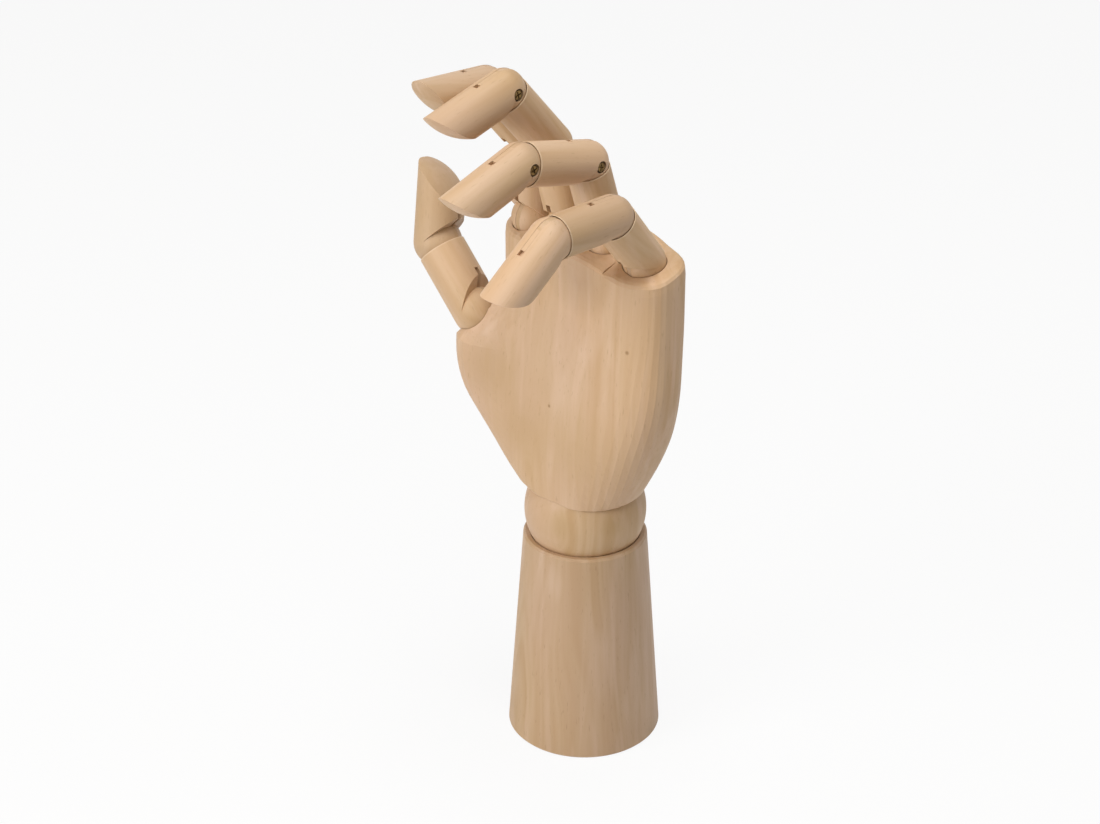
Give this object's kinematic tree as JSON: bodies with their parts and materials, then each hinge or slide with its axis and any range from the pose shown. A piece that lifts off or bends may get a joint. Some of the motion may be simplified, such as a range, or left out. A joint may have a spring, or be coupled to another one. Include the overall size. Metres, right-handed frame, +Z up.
{
  "type": "wooden hand mannequin",
  "caption": "Articulated wooden left hand with hinged, curled fingers and a thumb, on a ball wrist and a turned, tapering forearm that stands on its flat end.",
  "frame": {"origin": "centre of the forearm's flat underside, on the surface that the hand stands on", "axes": "+Z up to the fingertips, -Y out of the palm, -X towards the thumb, +X towards the little finger"},
  "size_m": [0.1343, 0.1151, 0.2971],
  "materials": {
    "forearm_wood": "fine sanded, matt",
    "ball_wood": "fine sanded, matt",
    "palm_wood": "fine sanded, matt",
    "finger_wood": "fine sanded, matt",
    "thumb_wood": "fine sanded, matt",
    "tongue_wood": "sawn",
    "screw_brass": "dulled",
    "spring_steel": "drawn wire",
    "pin_steel": "smooth"
  },
  "bodies": {
    "forearm": {"forearm": "forearm_wood", "forearm_pin": "pin_steel"},
    "wrist_spring": {"wrist_spring": "spring_steel"},
    "wrist_ball": {"wrist_ball": "ball_wood"},
    "palm": {"palm": "palm_wood", "palm_wrist_pin": "pin_steel", "palm_spring_pins": "pin_steel", "index_spring": "spring_steel", "middle_spring": "spring_steel", "ring_spring": "spring_steel", "little_spring": "spring_steel", "thumb_spring": "spring_steel"},
    "index_knuckle_tongue": {"index_knuckle_tongue": "tongue_wood"},
    "index_base": {"index_base": "finger_wood", "index_mid_tongue": "tongue_wood", "index_base_screw": "screw_brass"},
    "index_mid": {"index_mid": "finger_wood", "index_tip_tongue": "tongue_wood", "index_mid_screw": "screw_brass"},
    "index_tip": {"index_tip": "finger_wood", "index_tip_screw": "screw_brass"},
    "middle_knuckle_tongue": {"middle_knuckle_tongue": "tongue_wood"},
    "middle_base": {"middle_base": "finger_wood", "middle_mid_tongue": "tongue_wood", "middle_base_screw": "screw_brass"},
    "middle_mid": {"middle_mid": "finger_wood", "middle_tip_tongue": "tongue_wood", "middle_mid_screw": "screw_brass"},
    "middle_tip": {"middle_tip": "finger_wood", "middle_tip_screw": "screw_brass"},
    "ring_knuckle_tongue": {"ring_knuckle_tongue": "tongue_wood"},
    "ring_base": {"ring_base": "finger_wood", "ring_mid_tongue": "tongue_wood", "ring_base_screw": "screw_brass"},
    "ring_mid": {"ring_mid": "finger_wood", "ring_tip_tongue": "tongue_wood", "ring_mid_screw": "screw_brass"},
    "ring_tip": {"ring_tip": "finger_wood", "ring_tip_screw": "screw_brass"},
    "little_knuckle_tongue": {"little_knuckle_tongue": "tongue_wood"},
    "little_base": {"little_base": "finger_wood", "little_mid_tongue": "tongue_wood", "little_base_screw": "screw_brass"},
    "little_mid": {"little_mid": "finger_wood", "little_tip_tongue": "tongue_wood", "little_mid_screw": "screw_brass"},
    "little_tip": {"little_tip": "finger_wood", "little_tip_screw": "screw_brass"},
    "thumb_knuckle_tongue": {"thumb_knuckle_tongue": "tongue_wood"},
    "thumb_base": {"thumb_base": "thumb_wood", "thumb_tip_tongue": "tongue_wood", "thumb_base_screw": "screw_brass"},
    "thumb_tip": {"thumb_tip": "thumb_wood", "thumb_tip_screw": "screw_brass"}
  },
  "joints": [
    {"name": "wrist_turn", "type": "hinge", "parent": "forearm", "child": "wrist_spring", "pos_m": [0, 0, 0.1033], "axis": [0, 0, 1], "range_deg": [-90, 90], "deforming": ["wrist_spring"]},
    {"name": "wrist_side_tilt", "type": "hinge", "parent": "wrist_spring", "child": "wrist_ball", "pos_m": [0, 0, 0.1033], "axis": [0, 1, 0], "range_deg": [-20, 20], "deforming": ["wrist_spring"]},
    {"name": "wrist_bend", "type": "hinge", "parent": "wrist_ball", "child": "palm", "pos_m": [0, 0, 0.1033], "axis": [1, 0, 0], "range_deg": [-25, 25], "deforming": ["wrist_spring"]},
    {"name": "index_spread", "type": "hinge", "parent": "palm", "child": "index_knuckle_tongue", "pos_m": [-0.03045, 0, 0.223], "axis": [0, 1, 0], "range_deg": [-6, 0.5], "deforming": ["index_spring"]},
    {"name": "index_knuckle", "type": "hinge", "parent": "index_knuckle_tongue", "child": "index_base", "pos_m": [-0.03045, 0, 0.223], "axis": [1, 0, 0], "range_deg": [-2, 64]},
    {"name": "index_middle_joint", "type": "hinge", "parent": "index_base", "child": "index_mid", "pos_m": [-0.03045, -0.00115, 0.25598], "axis": [1, 0, 0], "range_deg": [-39, 27]},
    {"name": "index_end_joint", "type": "hinge", "parent": "index_mid", "child": "index_tip", "pos_m": [-0.03045, -0.02477, 0.28315], "axis": [1, 0, 0], "range_deg": [-45, 21]},
    {"name": "middle_spread", "type": "hinge", "parent": "palm", "child": "middle_knuckle_tongue", "pos_m": [-0.01015, 0, 0.22656], "axis": [0, 1, 0], "range_deg": [-0.5, 3], "deforming": ["middle_spring"]},
    {"name": "middle_knuckle", "type": "hinge", "parent": "middle_knuckle_tongue", "child": "middle_base", "pos_m": [-0.01015, 0, 0.22656], "axis": [0.9994, 0, 0.0349], "range_deg": [-14, 52]},
    {"name": "middle_middle_joint", "type": "hinge", "parent": "middle_base", "child": "middle_mid", "pos_m": [-0.01137, -0.00871, 0.26147], "axis": [0.9994, 0, 0.0349], "range_deg": [-27, 39]},
    {"name": "middle_end_joint", "type": "hinge", "parent": "middle_mid", "child": "middle_tip", "pos_m": [-0.01232, -0.03233, 0.28862], "axis": [0.9994, 0, 0.0349], "range_deg": [-64, 2]},
    {"name": "ring_spread", "type": "hinge", "parent": "palm", "child": "ring_knuckle_tongue", "pos_m": [0.01015, 0, 0.22656], "axis": [0, 1, 0], "range_deg": [-2, 2], "deforming": ["ring_spring"]},
    {"name": "ring_knuckle", "type": "hinge", "parent": "ring_knuckle_tongue", "child": "ring_base", "pos_m": [0.01015, 0, 0.22656], "axis": [1, 0, 0], "range_deg": [-18, 48]},
    {"name": "ring_middle_joint", "type": "hinge", "parent": "ring_base", "child": "ring_mid", "pos_m": [0.01015, -0.01112, 0.26079], "axis": [1, 0, 0], "range_deg": [-58, 8]},
    {"name": "ring_end_joint", "type": "hinge", "parent": "ring_mid", "child": "ring_tip", "pos_m": [0.01015, -0.04605, 0.2695], "axis": [1, 0, 0], "range_deg": [-32, 34]},
    {"name": "little_spread", "type": "hinge", "parent": "palm", "child": "little_knuckle_tongue", "pos_m": [0.03045, 0, 0.223], "axis": [0, 1, 0], "range_deg": [-6, 2], "deforming": ["little_spring"]},
    {"name": "little_knuckle", "type": "hinge", "parent": "little_knuckle_tongue", "child": "little_base", "pos_m": [0.03045, 0, 0.223], "axis": [0.9976, 0, -0.0698], "range_deg": [-39, 27]},
    {"name": "little_middle_joint", "type": "hinge", "parent": "little_base", "child": "little_mid", "pos_m": [0.03218, -0.02014, 0.24781], "axis": [0.9976, 0, -0.0698], "range_deg": [-50, 16]},
    {"name": "little_end_joint", "type": "hinge", "parent": "little_mid", "child": "little_tip", "pos_m": [0.03222, -0.05213, 0.24837], "axis": [0.9976, 0, -0.0698], "range_deg": [-40, 26]},
    {"name": "thumb_turn", "type": "hinge", "parent": "palm", "child": "thumb_knuckle_tongue", "pos_m": [-0.0515, -0.011, 0.178], "axis": [0.7193, 0, -0.6947], "range_deg": [-13, 77], "deforming": ["thumb_spring"]},
    {"name": "thumb_knuckle", "type": "hinge", "parent": "thumb_knuckle_tongue", "child": "thumb_base", "pos_m": [-0.0515, -0.011, 0.178], "axis": [-0.2031, 0.9563, -0.2103], "range_deg": [-1, 24]},
    {"name": "thumb_end_joint", "type": "hinge", "parent": "thumb_base", "child": "thumb_tip", "pos_m": [-0.07485, -0.01083, 0.20132], "axis": [-0.2031, 0.9563, -0.2103], "range_deg": [-41, 25]}
  ]
}
